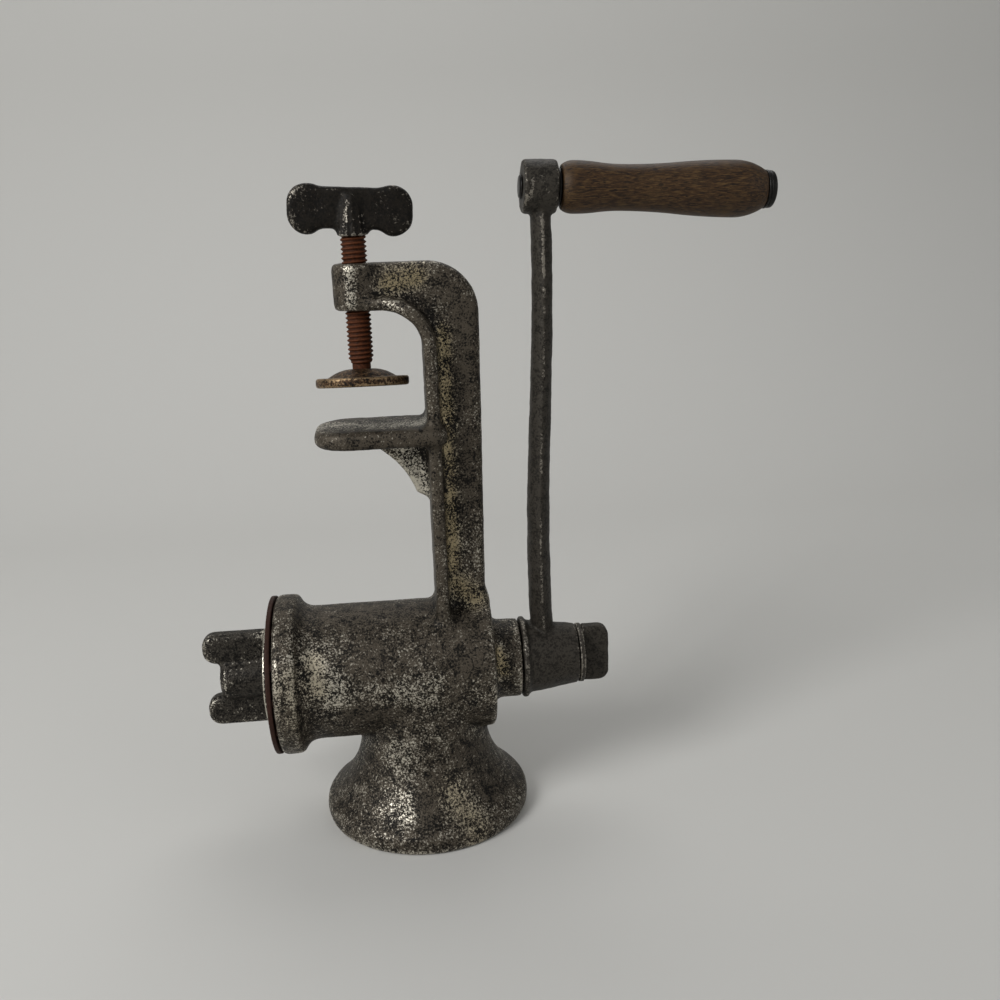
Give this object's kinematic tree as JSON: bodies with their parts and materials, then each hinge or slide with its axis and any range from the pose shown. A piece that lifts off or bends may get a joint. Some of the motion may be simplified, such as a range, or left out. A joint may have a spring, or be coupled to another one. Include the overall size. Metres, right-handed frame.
{
  "type": "hand crank meat grinder",
  "caption": "Clamp-on cast iron meat grinder with a bell hopper, feed screw, cutter plate, screw clamp and a hand crank with a wooden grip, standing on its hopper.",
  "frame": {"origin": "where the clamp screw's axis meets the face of the fixed clamp jaw", "axes": "+Z out of the jaw face, from the hopper mouth that the part stands on towards the clamp arm; +X along the barrel towards the crank"},
  "size_m": [0.2498, 0.092, 0.2819],
  "materials": {
    "casting": "worn tinned casting, mottled dark grey",
    "tinned_iron": "worn tinned casting, dark grey",
    "cutter_steel": "rusty steel",
    "crank_iron": "worn dark casting",
    "spindle_steel": "blackened steel",
    "grip_wood": "dark worn hardwood with a lengthwise grain",
    "foot_iron": "brown patina",
    "rusty_steel": "rusty threaded steel",
    "dark_iron": "nearly black casting"
  },
  "bodies": {
    "casting": {"grinder_body": "casting"},
    "crank": {"feed_screw": "tinned_iron", "cutter_plate": "cutter_steel", "crank_arm": "crank_iron", "grip_spindle": "spindle_steel", "inner_grip_washer": "spindle_steel", "outer_grip_washer": "spindle_steel"},
    "grip": {"wooden_grip": "grip_wood"},
    "clamp_foot": {"pressure_foot": "foot_iron"},
    "clamp_screw": {"clamp_screw": "rusty_steel", "thumb_plate": "dark_iron"},
    "nut_ring": {"pressure_ring": "tinned_iron"},
    "front_nut": {"wing_nut": "tinned_iron"},
    "key_ring": {"crank_ring": "crank_iron"},
    "key": {"crank_key": "crank_iron"}
  },
  "joints": [
    {"name": "crank_turn", "type": "hinge", "parent": "casting", "child": "crank", "pos_m": [0, 0, -0.11], "axis": [-1, 0, 0], "continuous": true},
    {"name": "grip_spin", "type": "hinge", "parent": "crank", "child": "grip", "pos_m": [0.0754, 0, 0.093], "axis": [0.9993, 0, -0.0384], "continuous": true},
    {"name": "clamp_travel", "type": "slide", "parent": "casting", "child": "clamp_foot", "axis": [0, 0, 1], "range_m": [-0.008, 0.02]},
    {"name": "clamp_turn", "type": "hinge", "parent": "clamp_foot", "child": "clamp_screw", "pos_m": [0, 0, 0.016], "axis": [0, 0, 1], "range_deg": [-1588, 3970]},
    {"name": "nut_travel", "type": "slide", "parent": "crank", "child": "nut_ring", "axis": [-1, 0, 0], "range_m": [0, 0.016]},
    {"name": "nut_turn", "type": "hinge", "parent": "nut_ring", "child": "front_nut", "pos_m": [-0.0498, 0, -0.11], "axis": [-1, 0, 0], "range_deg": [0, 3629]},
    {"name": "key_travel", "type": "slide", "parent": "crank", "child": "key_ring", "axis": [1, 0, 0], "range_m": [0, 0.008]},
    {"name": "key_turn", "type": "hinge", "parent": "key_ring", "child": "key", "pos_m": [0.0903, 0, -0.11], "axis": [1, 0, 0], "range_deg": [0, 2041]}
  ],
  "couplings": [
    {"joint": "clamp_turn", "follows": "clamp_travel", "rad_per_m": 3463.7},
    {"joint": "nut_turn", "follows": "nut_travel", "rad_per_m": 3957.9},
    {"joint": "key_turn", "follows": "key_travel", "rad_per_m": 4452.6}
  ]
}
